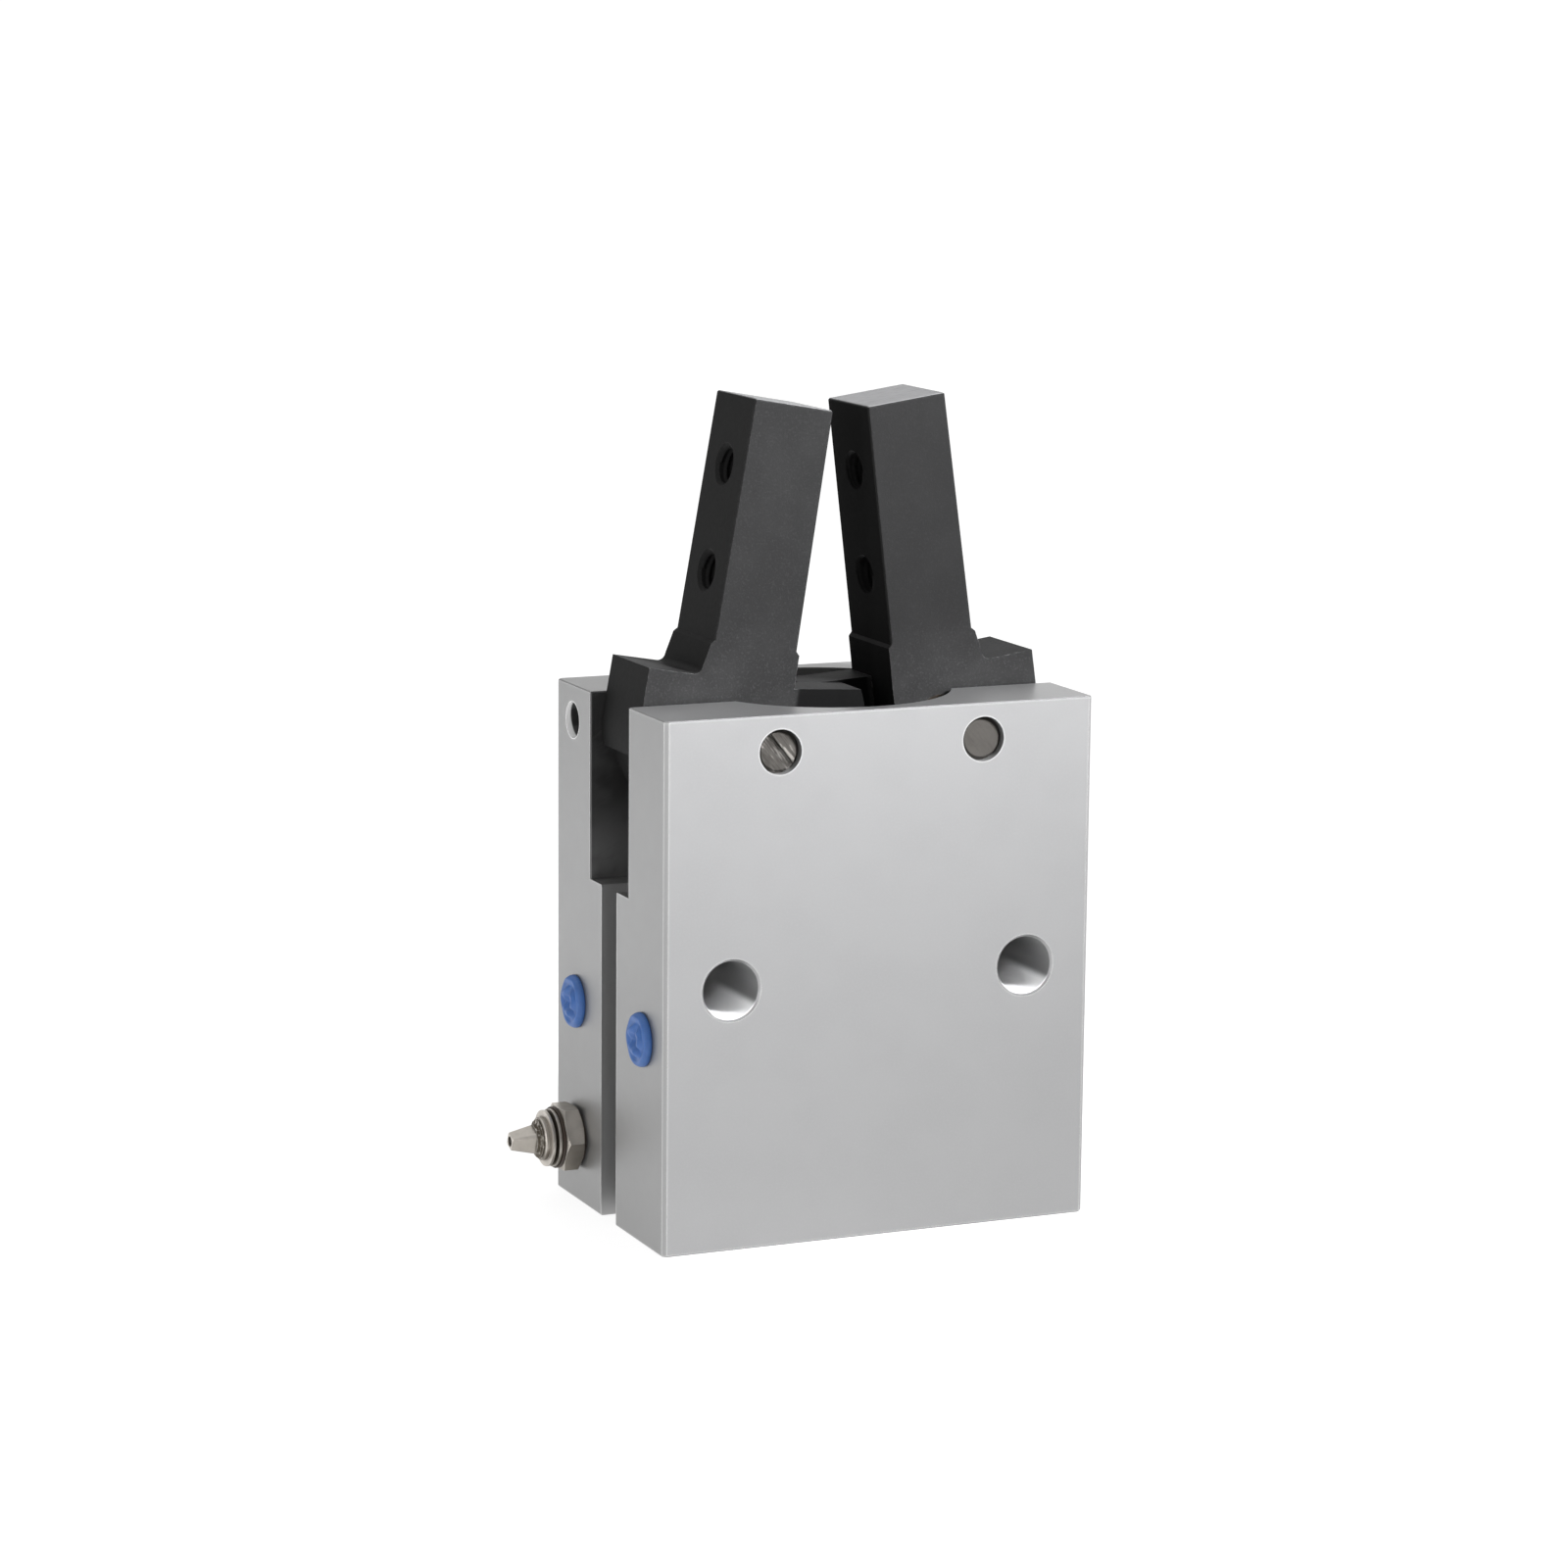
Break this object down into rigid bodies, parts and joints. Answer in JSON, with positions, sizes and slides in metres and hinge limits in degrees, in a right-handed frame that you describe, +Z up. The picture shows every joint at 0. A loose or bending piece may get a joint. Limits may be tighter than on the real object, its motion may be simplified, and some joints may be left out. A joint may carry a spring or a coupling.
{
  "type": "pneumatic gripper",
  "caption": "Angular pneumatic gripper: a square alloy cylinder block with blackened steel fingers that swing apart from the top.",
  "frame": {"origin": "middle of the body's bottom face", "axes": "+Z up along the cylinder to the fingertips, fingers swing in the XZ plane, -Y is the plain front face, -X is the port face"},
  "size_m": [0.0602, 0.033, 0.0936],
  "materials": {
    "body": "fine grey anodising, satin",
    "cap_alloy": "turned, clear anodised",
    "finger_steel": "blackened, finely blasted steel",
    "bush_bronze": "sintered bronze, dark and oiled",
    "pin_steel": "ground steel, warm grey",
    "rod_steel": "ground and polished",
    "spring_steel": "phosphated spring steel",
    "screw_steel": "black oxide",
    "liner_steel": "blackened steel, smooth",
    "seal_rubber": "nitrile rubber",
    "bumper_rubber": "polyurethane",
    "magnet": "plastic-bonded magnet",
    "wear_resin": "acetal",
    "plug_blue": "soft blue polyethylene",
    "nickel": "nickel-plated brass, dulled",
    "gasket": "dark fibre gasket"
  },
  "bodies": {
    "housing": {"body_block": "body", "end_cap": "cap_alloy", "end_cap_oring": "seal_rubber", "end_cap_retaining_ring": "spring_steel", "lower_bumper": "bumper_rubber", "upper_bumper": "bumper_rubber", "rod_cover": "cap_alloy", "rod_cover_oring": "seal_rubber", "rod_cover_retaining_ring": "spring_steel", "rod_bush": "bush_bronze", "rod_seal": "seal_rubber", "port_plug_front": "plug_blue", "port_plug_back": "plug_blue", "nipple_gasket": "gasket", "nipple_hex_stem": "nickel", "nipple_seal": "gasket", "nipple_union_nut": "nickel", "nipple_barb": "nickel", "pivot_pin_left": "pin_steel", "pin_set_screw_left": "screw_steel", "slot_liner_left_front": "liner_steel", "slot_liner_left_back": "liner_steel", "pivot_pin_right": "pin_steel", "pin_set_screw_right": "screw_steel", "slot_liner_right_front": "liner_steel", "slot_liner_right_back": "liner_steel"},
    "piston": {"forked_piston_rod": "rod_steel", "center_pin": "pin_steel", "roller_front": "rod_steel", "roller_back": "rod_steel", "piston_lower": "cap_alloy", "piston_upper": "cap_alloy", "piston_magnet": "magnet", "piston_seal": "seal_rubber", "piston_wear_ring": "wear_resin", "piston_screw": "screw_steel"},
    "left_finger": {"finger_left": "finger_steel", "finger_bush_left": "bush_bronze"},
    "right_finger": {"finger_right": "finger_steel", "finger_bush_right": "bush_bronze"}
  },
  "joints": [
    {"name": "piston_slide", "type": "slide", "parent": "housing", "child": "piston", "axis": [0, 0, 1], "range_m": [0, 0.009]},
    {"name": "left_finger_hinge", "type": "hinge", "parent": "housing", "child": "left_finger", "pos_m": [-0.01235, 0, 0.0559], "axis": [0, -1, 0], "range_deg": [0, 40]},
    {"name": "right_finger_hinge", "type": "hinge", "parent": "housing", "child": "right_finger", "pos_m": [0.01235, 0, 0.0559], "axis": [0, 1, 0], "range_deg": [0, 40]}
  ],
  "couplings": [
    {"joint": "left_finger_hinge", "follows": "piston_slide", "rad_per_m": 77.57},
    {"joint": "right_finger_hinge", "follows": "piston_slide", "rad_per_m": 77.57}
  ]
}
